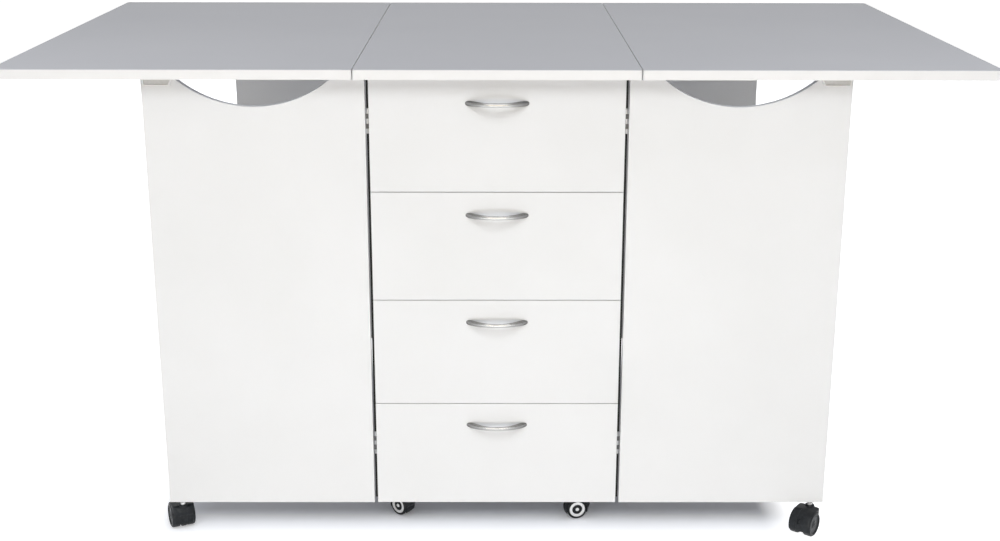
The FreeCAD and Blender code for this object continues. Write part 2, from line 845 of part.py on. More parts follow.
class Caster:
    """A twin-wheel caster, with its swivel axis on Z and its wheels trailing toward +X."""

    def __init__(self, wheel_radius, half_width, trail, skirt, boss_top):
        self.wheel_radius = wheel_radius
        self.half_width = half_width
        self.skirt = skirt
        self.boss_top = boss_top
        self.axle_centre = Vector(trail, 0, wheel_radius)
        self.dish_floor = half_width - wheel_dish_depth
        self.stem_foot = boss_top - stem_in_hood

    def wheel(self):
        """The wheel on the +Y side: a rounded tread, a dished face and a cap."""
        inner_face = hood_web_width / 2 + hood_web_clearance
        start, end = Vector(0, inner_face, 0), Vector(0, self.half_width, 0)
        floor = Vector(0, self.dish_floor, 0)
        disc = rod(self.wheel_radius, start, end)
        rims = [edge for edge in disc.Edges if edge.Closed]
        disc = disc.makeFillet(wheel_rim_radius, rims)
        dish = rod(self.wheel_radius * wheel_dish_share, floor, end)
        cap = rod(wheel_cap_radius, floor, end)
        return disc.cut(dish).fuse(cap).cut(rod(axle_radius, start, floor))

    def trim_ring(self):
        """A bright ring in the dish of the wheel on the +Y side."""
        start = Vector(0, self.dish_floor, 0)
        end = start + REAR * trim_ring_thickness
        ring = rod(trim_ring_radius, start, end)
        return ring.cut(rod(trim_ring_radius - trim_ring_width, start, end))

    def wheels(self, with_rings):
        """The twin wheels pressed on their axle."""
        axle = rod(axle_radius, Vector(0, -self.dish_floor, 0), Vector(0, self.dish_floor, 0))
        one_side = [self.wheel()] + ([self.trim_ring()] if with_rings else [])
        mirrored = [shape.mirror(Vector(0, 0, 0), REAR) for shape in one_side]
        shapes = [axle] + one_side + mirrored
        for shape in shapes:
            shape.translate(self.axle_centre)
        return shapes

    def hood(self):
        """The hood: a shell over both wheels, a web between them with a low toe, a nose and the boss."""
        outer = self.wheel_radius + hood_wheel_clearance + hood_thickness
        half = Vector(0, self.half_width - hood_inset, 0)
        body = rod(outer, self.axle_centre - half, self.axle_centre + half)
        roof = self.wheel_radius + outer
        nose = Vector(hood_nose_offset, 0, roof - hood_nose_radius)
        body = body.fuse(rod(hood_nose_radius, nose - half, nose + half))
        body = body.fuse(block((nose.x, self.axle_centre.x), (-half.y, half.y), (nose.z, roof)))
        round_axis = nose.x - hood_nose_radius - hood_front_margin + self.half_width
        drum = rod(self.half_width, Vector(round_axis, 0, 0), Vector(round_axis, 0, roof))
        behind = block((round_axis, self.axle_centre.x + outer), (-half.y, half.y), (0, roof))
        body = body.common(drum.fuse(behind))
        boss_foot = self.boss_top - hood_boss_depth
        body = body.fuse(rod(hood_boss_radius, UP * boss_foot, UP * self.boss_top))
        for side in (-1, 1):
            start = self.axle_centre + Vector(0, side * hood_web_width / 2, 0)
            pocket_end = start + Vector(0, side * self.half_width, 0)
            body = body.cut(rod(self.wheel_radius + hood_wheel_clearance, start, pocket_end))
        reach = 2 * (self.axle_centre.x + outer)
        body = body.cut(block((-reach, reach), (-reach, reach), (-reach, self.skirt)))
        web = Vector(0, hood_web_width / 2, 0)
        toe = rod(self.wheel_radius + hood_wheel_clearance, self.axle_centre - web, self.axle_centre + web)
        front = (-reach, self.axle_centre.x)
        body = body.fuse(toe.common(block(front, (-web.y, web.y), (hood_toe_height, self.skirt))))
        axle_hole = rod(axle_radius + stem_clearance, self.axle_centre - half, self.axle_centre + half)
        stem_hole = rod(stem_radius, UP * self.stem_foot, UP * self.boss_top)
        return body.cut(axle_hole).cut(stem_hole).removeSplitter()

    def stem(self, high):
        """The stem or kingpin, from inside the hood up to a height."""
        return rod(stem_radius, UP * self.stem_foot, UP * high)


def gate_caster():
    """The caster at the outer end of a gate."""
    return Caster(
        gate_wheel_radius,
        gate_caster_half_width,
        gate_caster_trail,
        gate_hood_skirt,
        gate_boss_top,
    )


def chest_caster():
    """The smaller caster under the chest."""
    return Caster(
        chest_wheel_radius,
        chest_caster_half_width,
        chest_caster_trail,
        chest_hood_skirt,
        chest_boss_top,
    )


def gate_stem():
    """A gate caster's stem, with the collar that carries the gate's socket."""
    flange_low = face_bottom - socket_flange_thickness
    stem = gate_caster().stem(face_bottom + stem_in_gate - collar_gap)
    return stem.fuse(rod(collar_radius, UP * gate_boss_top, UP * (flange_low - collar_gap)))


def chest_kingpin():
    """A chest caster's short kingpin."""
    return chest_caster().stem(chest_bottom - plate_thickness - kingpin_roof - collar_gap)


def caster_plate():
    """A chest caster's top plate and its bearing cup."""
    half = plate_size / 2
    low = chest_bottom - plate_thickness
    plate = block((-half, half), (-half, half), (low, chest_bottom))
    cup = rod(cup_radius, UP * (chest_boss_top + cup_gap), UP * low)
    bore_top = UP * (low - kingpin_roof)
    bore = rod(stem_radius + stem_clearance, UP * chest_boss_top, bore_top)
    return plate.fuse(cup).cut(bore)


def at_corner(shape, x, y, end, side, angle=0.0):
    """Turn a caster shape about its swivel axis, then carry it to its corner."""
    shape = shape.copy()
    shape.rotate(Vector(0, 0, 0), UP, angle)
    shape.translate(Vector(SIDES[side] * x, ENDS[end] * y, 0))
    return shape


def plate_screws(end, side):
    """The four screws of one chest caster's plate."""
    half = plate_screw_spacing / 2
    low = chest_bottom - plate_thickness
    for x in (-half, half):
        for y in (-half, half):
            seat = Vector(x, y, low)
            tip = seat + UP * plate_screw_length
            head = rod(plate_screw_head_radius, seat + DOWN * plate_screw_head_height, seat)
            screw = head.fuse(rod(plate_screw_radius, seat, tip))
            yield at_corner(screw, chest_caster_x, chest_caster_y, end, side)


def save_casters():
    """The four gate casters, the four chest casters and the chest casters' plates."""
    kinds = {
        "gate": (gate_caster(), gate_stem(), gate_caster_x, gate_middle, gate_caster_angles),
        "chest": (chest_caster(), chest_kingpin(), chest_caster_x, chest_caster_y, chest_caster_angles),
    }
    for kind, (caster, stem, x, y, angles) in kinds.items():
        wheels = caster.wheels(with_rings=kind == "chest")
        for end, side in CORNERS:
            name = f"{end}_{side}_{kind}_caster"
            spot = (x, y, end, side, angles[f"{end}_{side}"])
            save(f"{name}_hood", *[at_corner(shape, *spot) for shape in (caster.hood(), stem)])
            save(f"{name}_wheels", *[at_corner(shape, *spot) for shape in wheels])

    plates = []
    for end, side in CORNERS:
        plate = at_corner(caster_plate(), chest_caster_x, chest_caster_y, end, side)
        plates.append(cut_all(plate, plate_screws(end, side)))
    save("chest_caster_plates", *plates)


# ---------------------------------------------------------------- the whole table

os.makedirs("parts", exist_ok=True)
save_top()
save_chest()
save_drawers()
save_gates()
save_casters()
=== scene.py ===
import json
import math

import bmesh
import bpy
from mathutils import Matrix, Vector

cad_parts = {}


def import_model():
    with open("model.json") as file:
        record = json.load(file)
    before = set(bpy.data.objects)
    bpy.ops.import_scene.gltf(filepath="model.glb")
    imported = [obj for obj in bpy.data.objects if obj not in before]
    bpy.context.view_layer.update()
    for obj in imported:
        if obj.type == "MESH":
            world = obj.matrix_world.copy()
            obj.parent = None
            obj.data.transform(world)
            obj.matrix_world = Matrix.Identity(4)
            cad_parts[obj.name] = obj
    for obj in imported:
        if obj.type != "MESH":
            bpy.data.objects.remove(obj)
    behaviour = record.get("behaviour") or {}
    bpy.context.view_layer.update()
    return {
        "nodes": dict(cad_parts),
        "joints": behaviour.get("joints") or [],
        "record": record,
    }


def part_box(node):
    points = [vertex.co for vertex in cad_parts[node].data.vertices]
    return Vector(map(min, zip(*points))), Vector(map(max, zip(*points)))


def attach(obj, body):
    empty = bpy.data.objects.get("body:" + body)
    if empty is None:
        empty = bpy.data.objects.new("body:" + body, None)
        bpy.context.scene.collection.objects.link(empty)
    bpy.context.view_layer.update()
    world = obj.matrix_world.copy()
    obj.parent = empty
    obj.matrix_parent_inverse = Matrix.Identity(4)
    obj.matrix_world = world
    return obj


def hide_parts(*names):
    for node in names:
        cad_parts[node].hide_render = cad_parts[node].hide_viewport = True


# Looks of the folding sewing cutting table. Metres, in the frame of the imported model.

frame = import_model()

MM = 0.001
SIDES = {"left": -1, "right": 1}
ENDS = ("front", "rear")
CORNERS = [(end, side) for end in ENDS for side in SIDES]
CASTER_KINDS = ("gate", "chest")
DRAWERS = (1, 2, 3, 4)

# ---------------------------------------------------------------- node helpers


class Graph:
    """A node tree, and short ways to add nodes to it."""

    def __init__(self, tree):
        self.nodes, self.links = tree.nodes, tree.links

    def find(self, kind):
        """The tree's node of one type."""
        return next(node for node in self.nodes if node.type == kind)

    def feed(self, socket, source):
        """Link a node output, or set a number or a colour."""
        if isinstance(source, bpy.types.NodeSocket):
            self.links.new(source, socket)
        else:
            socket.default_value = source

    def add(self, kind, sockets, **settings):
        """A new node with its settings, and its sockets fed by outputs, numbers or colours."""
        node = self.nodes.new(kind)
        for name, value in settings.items():
            setattr(node, name, value)
        for socket, source in sockets.items():
            self.feed(node.inputs[socket], source)
        return node

    def compute(self, operation, *values):
        """The result of one sum on node outputs and numbers."""
        node = self.add("ShaderNodeMath", dict(enumerate(values)), operation=operation)
        return node.outputs["Value"]

    def spread(self, source, span, result=(0.0, 1.0)):
        """A value carried from one span to another, and held at the ends."""
        sockets = {"Value": source, "From Min": span[0], "From Max": span[1]}
        sockets.update({"To Min": result[0], "To Max": result[1]})
        return self.add("ShaderNodeMapRange", sockets).outputs["Result"]

    def mix(self, factor, first, second):
        """A colour between two, first at a factor of 0 and second at 1."""
        node = self.add("ShaderNodeMix", {}, data_type="RGBA")
        self.feed(node.inputs["Factor"], factor)
        colours = [socket for socket in node.inputs if socket.type == "RGBA"]
        for socket, colour in zip(colours, (first, second)):
            self.feed(socket, colour)
        return next(socket for socket in node.outputs if socket.type == "RGBA")


class Look(Graph):
    """A procedural material: a Principled shader and the nodes that feed it."""

    def __init__(self, name, **sockets):
        self.material = bpy.data.materials.new(name)
        self.material.use_nodes = True
        super().__init__(self.material.node_tree)
        self.shader = self.find("BSDF_PRINCIPLED")
        self.place = self.nodes.new("ShaderNodeTexCoord").outputs["Object"]
        for socket, value in sockets.items():
            self.shader.inputs[socket.replace("_", " ")].default_value = value

    def along(self, axis):
        """The place's distance along one axis."""
        return self.add("ShaderNodeSeparateXYZ", {"Vector": self.place}).outputs[axis]

    def stretched(self, x, y, z):
        """The place, scaled apart on each axis, so that a pattern runs along one of them."""
        return self.add("ShaderNodeMapping", {"Vector": self.place, "Scale": (x, y, z)}).outputs["Vector"]

    def noise(self, scale, detail=3.0, roughness=0.5, vector=None):
        """Noise, with scale in features per metre."""
        sockets = {"Vector": vector or self.place, "Scale": scale}
        sockets.update({"Detail": detail, "Roughness": roughness})
        return self.add("ShaderNodeTexNoise", sockets).outputs["Fac"]

    def grains(self, scale):
        """The distance to the nearest of many scattered points."""
        node = self.add("ShaderNodeTexVoronoi", {"Vector": self.place, "Scale": scale})
        return node.outputs["Distance"]

    def sum(self, first, second, share):
        """One value plus a share of another."""
        return self.compute("MULTIPLY_ADD", second, share, first)

    def tone(self, source, span, first, second):
        """A colour between two, by where a value stands in a span."""
        return self.mix(self.spread(source, span), first, second)

    def colour(self, source):
        self.feed(self.shader.inputs["Base Color"], source)

    def roughness(self, source):
        self.feed(self.shader.inputs["Roughness"], source)

    def bump(self, height, relief, strength):
        """Bump of a relief in metres, over any bump that is already there."""
        sockets = {"Height": height, "Distance": relief, "Strength": strength}
        node = self.add("ShaderNodeBump", sockets)
        earlier = self.shader.inputs["Normal"]
        if earlier.is_linked:
            self.links.new(earlier.links[0].from_socket, node.inputs["Normal"])
        self.links.new(node.outputs["Normal"], earlier)


# ---------------------------------------------------------------- materials

FINE_RELIEF = 0.02 * MM
PEARL_RELIEF = 0.025 * MM
RUBBER_RELIEF = 0.03 * MM
GRAIN_RELIEF = 0.04 * MM
EVEN = (0.3, 0.7)
BRUSHED_ALONG, BRUSHED_ACROSS = 25.0, 2600.0
DULL_SHARE = 0.82
# Painted reflection on the handles: along X from the middle, the nickel is painted darker over this span
# toward the feet, with a cloudy wobble of this size.
HANDLE_SHADE_SPAN = (18.0 * MM, 56.0 * MM)
HANDLE_SHADE_WOBBLE = 12.0 * MM
# The nylon glide and its peg lie within this distance of a gate's top edge.
GLIDE_BAND = 28.0 * MM
GLIDE_BLEND = 1.0 * MM


def grey(value, warmth=0.0):
    """A near-neutral colour: warmth lifts red and lowers blue."""
    return (value * (1 + warmth), value, value * (1 - warmth), 1.0)


def laminate_look():
    """Grey-blue laminate with a faint grain along X and fine speckle."""
    dark, light = (0.575, 0.585, 0.633, 1.0), (0.615, 0.625, 0.669, 1.0)
    look = Look("grey_laminate", Specular_IOR_Level=0.22)
    streaks = look.noise(1.0, detail=4.0, roughness=0.55, vector=look.stretched(9.0, 420.0, 420.0))
    clouds = look.noise(3.2, detail=2.0)
    speckle = look.noise(1400.0, detail=2.0, roughness=0.6)
    blend = look.sum(look.sum(streaks, clouds, 0.9), speckle, 0.5)
    look.colour(look.tone(blend, (0.75, 1.65), dark, light))
    look.roughness(look.spread(look.sum(speckle, streaks, 0.6), (0.4, 1.2), (0.40, 0.54)))
    look.bump(speckle, FINE_RELIEF, 0.6)
    look.bump(streaks, FINE_RELIEF, 0.5)
    return look.material


def board_look():
    """White melamine: an even, faintly pearled surface."""
    look = Look("white_board")
    clouds = look.noise(4.5)
    pearl = look.noise(1100.0, detail=2.0, roughness=0.6)
    blend = look.sum(clouds, pearl, 0.5)
    look.colour(look.tone(blend, (0.45, 1.05), (0.825, 0.825, 0.82, 1.0), grey(0.87)))
    look.roughness(look.spread(pearl, EVEN, (0.36, 0.48)))
    look.bump(pearl, PEARL_RELIEF, 0.6)
    return look.material


def edging_look():
    """White plastic edging, a little glossier than the boards, with fine scraper lines."""
    look = Look("white_edging")
    lines = look.noise(1.0, roughness=0.6, vector=look.stretched(6.0, 6.0, 900.0))
    blend = look.sum(look.noise(14.0), lines, 0.5)
    look.colour(look.tone(blend, (0.4, 1.1), grey(0.88, 0.006), grey(0.92, 0.002)))
    look.roughness(look.spread(lines, EVEN, (0.28, 0.42)))
    look.bump(lines, FINE_RELIEF, 0.5)
    return look.material


def metal_look(name, tint, rough, along, metallic=1.0):
    """Brushed metal: scratches along one axis, and cloudy worn patches."""
    look = Look(name, Metallic=metallic)
    stretch = [BRUSHED_ALONG if axis == along else BRUSHED_ACROSS for axis in "xyz"]
    scratches = look.noise(1.0, roughness=0.65, vector=look.stretched(*stretch))
    clouds = look.noise(70.0)
    dull = tuple(channel * DULL_SHARE for channel in tint[:3]) + (1.0,)
    look.colour(look.tone(look.sum(scratches, clouds, 0.6), (0.5, 1.1), dull, tint))
    worn = look.sum(scratches, clouds, 0.4)
    look.roughness(look.spread(worn, (0.4, 1.1), (rough - 0.07, rough + 0.1)))
    look.bump(scratches, FINE_RELIEF, 0.5)
    return look.material


def nickel_look():
    """Brushed nickel for the handles, with a painted reflection: lighter at the grip, and painted shade
    darker toward the feet.
    """
    bright, dark = (0.40, 0.395, 0.385, 1.0), (0.13, 0.13, 0.127, 1.0)
    scratched = (0.30, 0.295, 0.285, 1.0)
    look = Look("handle_nickel", Metallic=1.0)
    along_x = look.stretched(BRUSHED_ALONG, BRUSHED_ACROSS, BRUSHED_ACROSS)
    scratches = look.noise(1.0, roughness=0.65, vector=along_x)
    clouds = look.noise(70.0)
    # Painted shade: the nickel is painted darker with distance from the grip toward the feet.
    painted_shade = look.sum(look.compute("ABSOLUTE", look.along("X")), clouds, HANDLE_SHADE_WOBBLE)
    tint = look.tone(painted_shade, HANDLE_SHADE_SPAN, bright, dark)
    look.colour(look.tone(scratches, (0.3, 0.9), tint, scratched))
    look.roughness(look.spread(look.sum(scratches, clouds, 0.4), (0.4, 1.1), (0.14, 0.3)))
    look.bump(scratches, FINE_RELIEF, 0.5)
    return look.material


def coated_look():
    """Off-white powder coat with orange peel."""
    look = Look("runner_steel")
    clouds = look.noise(30.0)
    look.colour(look.tone(clouds, EVEN, (0.70, 0.69, 0.66, 1.0), (0.77, 0.765, 0.74, 1.0)))
    look.roughness(look.spread(clouds, EVEN, (0.32, 0.45)))
    look.bump(look.grains(900.0), GRAIN_RELIEF, 0.4)
    return look.material


def black_plastic_look():
    """Black nylon with a fine moulded grain and a little dust in the hollows."""
    black, dusty = (0.007, 0.0085, 0.0105, 1.0), (0.019, 0.022, 0.025, 1.0)
    look = Look("caster_black", Specular_IOR_Level=0.22)
    dust = look.noise(120.0, detail=4.0, roughness=0.6)
    look.colour(look.tone(dust, (0.45, 0.8), black, dusty))
    look.roughness(look.spread(dust, (0.3, 0.75), (0.30, 0.52)))
    look.bump(look.grains(1500.0), GRAIN_RELIEF, 0.5)
    return look.material


def nylon_look():
    """Natural nylon: milky, slightly waxy."""
    look = Look("stop_plastic", Subsurface_Weight=0.15, Subsurface_Scale=3.0 * MM)
    clouds = look.noise(220.0)
    # Paler than the boards: partly the nylon's own colour, partly a painted highlight on the stops' rims.
    look.colour(look.tone(clouds, EVEN, (0.90, 0.895, 0.87, 1.0), (0.94, 0.935, 0.915, 1.0)))
    look.roughness(look.spread(clouds, EVEN, (0.35, 0.5)))
    look.bump(look.noise(2500.0, detail=2.0), FINE_RELIEF, 0.4)
    return look.material


def stop_grey_look():
    """The greyer middle of a stop, with a fine orange peel: its grey is partly its own colour and partly
    painted shade from the leaf's overhang above it.
    """
    look = Look("stop_middle")
    clouds = look.noise(160.0)
    look.colour(look.tone(clouds, EVEN, (0.64, 0.63, 0.605, 1.0), (0.70, 0.69, 0.665, 1.0)))
    look.roughness(look.spread(clouds, EVEN, (0.34, 0.46)))
    look.bump(look.grains(1400.0), FINE_RELIEF, 0.4)
    return look.material


def rubber_look():
    """Matt black rubber with a faint bloom."""
    look = Look("bumper_rubber")
    bloom = look.noise(45.0, detail=4.0, roughness=0.6)
    look.colour(look.tone(bloom, (0.3, 0.75), grey(0.008), (0.018, 0.018, 0.017, 1.0)))
    look.roughness(look.spread(bloom, (0.3, 0.75), (0.62, 0.8)))
    look.bump(look.noise(1800.0, detail=2.0), RUBBER_RELIEF, 0.5)
    return look.material


def fittings_look():
    """Dark steel gate hinges and sockets below, and a milky nylon glide on the gate's top edge."""
    look = Look("gate_fittings")
    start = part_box("front_left_gate")[1].z - GLIDE_BAND
    glide = look.spread(look.along("Z"), (start, start + GLIDE_BLEND))
    clouds = look.noise(150.0)
    steel = look.tone(clouds, EVEN, grey(0.10), grey(0.16))
    nylon = look.tone(clouds, EVEN, (0.82, 0.81, 0.775, 1.0), (0.87, 0.86, 0.825, 1.0))
    look.colour(look.mix(glide, steel, nylon))
    look.feed(look.shader.inputs["Metallic"], look.compute("SUBTRACT", 1.0, glide))
    look.roughness(look.spread(clouds, EVEN, (0.34, 0.5)))
    look.bump(look.noise(1500.0, detail=2.0), FINE_RELIEF, 0.4)
    return look.material


HINGE_TINT = (0.70, 0.70, 0.71, 1.0)
SCREW_TINT = (0.66, 0.66, 0.64, 1.0)

LEAF_HINGE = metal_look("leaf_hinge_steel", HINGE_TINT, 0.30, "y")
PLATED = metal_look("caster_trim", grey(0.93), 0.3, "z", metallic=0.45)
STOP_GREY = stop_grey_look()
FITTINGS = fittings_look()

SLOT_LOOKS = {
    "grey_laminate": laminate_look(),
    "white_board": board_look(),
    "white_edging": edging_look(),
    "hinge_steel": metal_look("hinge_steel", HINGE_TINT, 0.30, "z"),
    "runner_steel": coated_look(),
    "handle_nickel": nickel_look(),
    "caster_black": black_plastic_look(),
    "stop_plastic": nylon_look(),
    "screw_steel": metal_look("screw_steel", SCREW_TINT, 0.34, "z"),
    "bumper_rubber": rubber_look(),
}

# ---------------------------------------------------------------- mesh helpers

# A piece's materials, by their place on its mesh.
MAIN, EXTRA = 0, 1
SHARP_ANGLE = math.radians(38)
ON_AXIS = 1e-6
FILLET_SHARE = 0.49


def piece(name, mesh, body, slot, node, extra_look=None):
    """A new object from a bmesh, riding on a body and standing for a CAD node."""
    bmesh.ops.recalc_face_normals(mesh, faces=mesh.faces)
    data = bpy.data.meshes.new(name)
    mesh.to_mesh(data)
    mesh.free()
    data.materials.append(SLOT_LOOKS[slot])
    if extra_look:
        data.materials.append(extra_look)
    data.shade_smooth()
    data.set_sharp_from_angle(angle=SHARP_ANGLE)
    made = bpy.data.objects.new(name, data)
    bpy.context.scene.collection.objects.link(made)
    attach(made, body)
    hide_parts(node)


def rounded(points, steps=3):
    """A profile in metres with its corners rounded, from (radius, height, fillet) in millimetres."""
    result = []
    for index, (radius, height, fillet) in enumerate(points):
        here = Vector((radius, height))
        if not fillet or index in (0, len(points) - 1):
            result.append(here * MM)
            continue
        before = Vector(points[index - 1][:2]) - here
        after = Vector(points[index + 1][:2]) - here
        first = here + before.normalized() * min(fillet, before.length * FILLET_SHARE)
        last = here + after.normalized() * min(fillet, after.length * FILLET_SHARE)
        for step in range(steps + 1):
            t = step / steps
            spot = first * (1 - t) ** 2 + here * 2 * t * (1 - t) + last * t ** 2
            result.append(spot * MM)
    return result


def lathe(mesh, profile, place, segments, look=MAIN):
    """Turn a profile of (radius, height) about the Z axis of a place."""
    rings = []
    for radius, height in profile:
        if radius < ON_AXIS:
            rings.append([mesh.verts.new(place @ Vector((0, 0, height)))])
            continue
        ring = []
        for index in range(segments):
            angle = 2 * math.pi * index / segments
            spot = Vector((radius * math.cos(angle), radius * math.sin(angle), height))
            ring.append(mesh.verts.new(place @ spot))
        rings.append(ring)
    for low, high in zip(rings, rings[1:]):
        for index in range(segments):
            after = (index + 1) % segments
            corners = [low[index % len(low)], low[after % len(low)]]
            corners += [high[after % len(high)], high[index % len(high)]]
            unique = list(dict.fromkeys(corners))
            if len(unique) > 2:
                mesh.faces.new(unique).material_index = look


def loft(mesh, rings, look=MAIN, first_cap=True, last_cap=True):
    """Join a row of closed rings of points into a skin."""
    made = [[mesh.verts.new(point) for point in ring] for ring in rings]
    for low, high in zip(made, made[1:]):
        for index in range(len(low)):
            after = (index + 1) % len(low)
            face = mesh.faces.new((low[index], low[after], high[after], high[index]))
            face.material_index = look
    if first_cap:
        mesh.faces.new(made[0]).material_index = look
    if last_cap:
        mesh.faces.new(reversed(made[-1])).material_index = look


# ---------------------------------------------------------------- CAD nodes that stay

SOFT_EDGES = {
    "grey_laminate": 0.3 * MM,
    "white_board": 0.6 * MM,
    "white_edging": 0.4 * MM,
    "stop_plastic": 0.6 * MM,
    "runner_steel": 0.3 * MM,
}
WELD_DISTANCE = 0.01 * MM
BEVEL_ANGLE = math.radians(50)


def soften(node, width):
    """Round a node's sharp edges with modifiers, and leave its mesh as it is."""
    weld = node.modifiers.new("weld", "WELD")
    weld.merge_threshold = WELD_DISTANCE
    bevel = node.modifiers.new("bevel", "BEVEL")
    bevel.width = width
    bevel.segments = 2
    bevel.limit_method = "ANGLE"
    bevel.angle_limit = BEVEL_ANGLE
    bevel.harden_normals = True


def node_look(name, slot):
    """A node's material: its slot's, but for the leaf hinges and the gates' fittings."""
    if name.startswith("leaf_hinge") or name.endswith("leaf_hinge_flaps"):
        return LEAF_HINGE
    if name.endswith("gate_fittings"):
        return FITTINGS
    return SLOT_LOOKS[slot]


def dress_nodes():
    """Give every CAD node its material, and the panels softened edges."""
    slots = {part["node"]: part["material_slot"] for part in frame["record"]["subparts"]}
    for name, node in frame["nodes"].items():
        slot = slots[name]
        node.data.materials.clear()
        node.data.materials.append(node_look(name, slot))
        if slot in SOFT_EDGES:
            soften(node, SOFT_EDGES[slot])


# ---------------------------------------------------------------- drawer fronts

FACE_SOFTNESS = 0.7 * MM
# Steps over a face's arris, as shares of its softness: (depth, inset).
ARRIS = ((0.0, 1.35), (0.0, 1.0), (0.3, 0.3), (1.0, 0.0))


def drawer_front(number):
    """A drawer's face: a board with softened arrises."""
    name = f"drawer_{number}_face"
    low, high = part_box(name)
    middle, size = (low + high) / 2, high - low
    levels = [(low.y + FACE_SOFTNESS * depth, inset) for depth, inset in ARRIS]
    levels += [(high.y - FACE_SOFTNESS * depth, inset) for depth, inset in reversed(ARRIS)]
    rings = []
    for depth, inset in levels:
        half_x = size.x / 2 - FACE_SOFTNESS * inset
        half_z = size.z / 2 - FACE_SOFTNESS * inset
        signs = [(-1, -1), (1, -1), (1, 1), (-1, 1)]
        rings.append([Vector((middle.x + x * half_x, depth, middle.z + z * half_z)) for x, z in signs])
    mesh = bmesh.new()
    loft(mesh, rings)
    piece(f"drawer_{number}_front", mesh, f"drawer_{number}", "white_board", name)


# ---------------------------------------------------------------- gate stops

STOP_LENGTH = 54.0 * MM
STOP_HEIGHT = 15.0 * MM
STOP_DEPTH = 5.0 * MM
STOP_SLANT = 7.0 * MM
STOP_RIM = 2.6 * MM
STOP_RECESS = 1.6 * MM
STOP_SOFTNESS = 0.5 * MM
STOP_CHAMFER = 0.15 * MM
SAME_POINT = 1e-6


def stop_outline(inset):
    """The stop's outline from its outer upper corner, as (inward, down)."""
    lean = STOP_SLANT / STOP_HEIGHT
    far = STOP_LENGTH - inset * math.hypot(1, lean)
    foot = STOP_HEIGHT - inset
    return [(inset, 0.0), (inset, foot), (far - lean * foot, foot), (far, 0.0)]


def stop_rings(corner, inward, back, levels):
    """Rings of one stop from its outer upper corner, one for each (depth, inset)."""
    rings = []
    for depth, inset in levels:
        spots = [Vector((inward * x, back * depth, -z)) for x, z in stop_outline(inset)]
        rings.append([corner + spot for spot in spots])
    return rings


def gate_stops(side):
    """The two stops under a leaf: a pale rim along the foot and ends, partly a painted highlight, round a
    greyer middle, partly painted shade.
    """
    name = f"{side}_gate_stops"
    low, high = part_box(name)
    outer = low.x if side == "left" else high.x
    inward = -SIDES[side]
    rim = [(STOP_DEPTH, 0.0), (STOP_SOFTNESS, 0.0), (STOP_CHAMFER, STOP_CHAMFER)]
    rim += [(0.0, STOP_SOFTNESS), (0.0, STOP_RIM)]
    middle = [(0.0, STOP_RIM), (STOP_RECESS, STOP_RIM + STOP_SOFTNESS)]
    mesh = bmesh.new()
    for face, back in ((low.y, 1), (high.y, -1)):
        corner = Vector((outer, face, high.z))
        # The pale rim is partly a painted highlight, and the greyer middle partly painted shade.
        loft(mesh, stop_rings(corner, inward, back, rim), MAIN, last_cap=False)
        loft(mesh, stop_rings(corner, inward, back, middle), EXTRA, first_cap=False)
    bmesh.ops.remove_doubles(mesh, verts=mesh.verts, dist=SAME_POINT)
    piece(f"{side}_stop_plates", mesh, f"{side}_leaf_body", "stop_plastic", name, STOP_GREY)


# ---------------------------------------------------------------- handle screws

SCREW_HEAD = 4.0 * MM
SCREW_LENGTH = 26.0 * MM
SCREW_SHANK = 2.0 * MM
# The cross and the head, as shares of the head's radius.
CROSS_ARM, CROSS_HALF, CROSS_DEPTH = 0.62, 0.16, 0.5
HEAD_CROWN, HEAD_SHOULDER, HEAD_BACK = 0.32, 0.86, 0.02
# The cross's floor as a share of its mouth, the shoulder's height as a share of the crown's,
# and the point's end as a share of the shank.
CROSS_FLOOR, SHOULDER_HEIGHT, SCREW_POINT = 0.55, 0.72, 0.3


def cross_outline():
    """The outline of the screw's cross, as a plus sign about the origin."""
    arm, half = SCREW_HEAD * CROSS_ARM, SCREW_HEAD * CROSS_HALF
    spots = [(arm, -half), (arm, half), (half, half)]
    outline = []
    for _ in range(4):
        outline += spots
        spots = [(-y, x) for x, y in spots]
    return outline


def cross_screw(mesh, place):
    """A domed cross-head screw with its head on the XY plane of a place and its shank along -Z."""
    cross = cross_outline()
    angles = [math.atan2(y, x) for x, y in cross]
    rim = [(SCREW_HEAD * math.cos(angle), SCREW_HEAD * math.sin(angle)) for angle in angles]
    crown = SCREW_HEAD * HEAD_CROWN
    shank = SCREW_SHANK / SCREW_HEAD
    levels = [
        (cross, CROSS_FLOOR, crown - SCREW_HEAD * CROSS_DEPTH),
        (cross, 1.0, crown),
        (rim, HEAD_SHOULDER, crown * SHOULDER_HEIGHT),
        (rim, 1.0, 0.0),
        (rim, shank, -SCREW_HEAD * HEAD_BACK),
        (rim, shank, -SCREW_LENGTH),
        (rim, shank * SCREW_POINT, -SCREW_LENGTH - SCREW_SHANK),
    ]
    rings = []
    for outline, share, height in levels:
        rings.append([place @ Vector((x * share, y * share, height)) for x, y in outline])
    loft(mesh, rings, EXTRA)


# ---------------------------------------------------------------- bow handles

HANDLE_HALF = 57.0 * MM
HANDLE_INNER_HALF = 44.0 * MM
HANDLE_RISE = 24.0 * MM
HANDLE_INNER_RISE = 18.5 * MM
HANDLE_FOOT = 5.0 * MM
HANDLE_GRIP = 3.6 * MM
HANDLE_SQUARENESS = 0.72
HANDLE_STATIONS, HANDLE_AROUND = 72, 24
HANDLE_SCREW_SPACING = 96.0 * MM
BOX_FRONT_THICKNESS = 12.0 * MM
TIP_TAPER = 0.35
# Places along the handle, as shares of its half length from the middle.
SWELL_START = 0.15
TIP_START = 0.94


def on_arc(half_span, rise, share):
    """A point on an arc over a chord, from one end to the other, as (across, out)."""
    radius = (half_span ** 2 + rise ** 2) / (2 * rise)
    reach = math.asin(half_span / radius)
    angle = reach * (2 * share - 1)
    return Vector((radius * math.sin(angle), radius * (math.cos(angle) - 1) + rise))


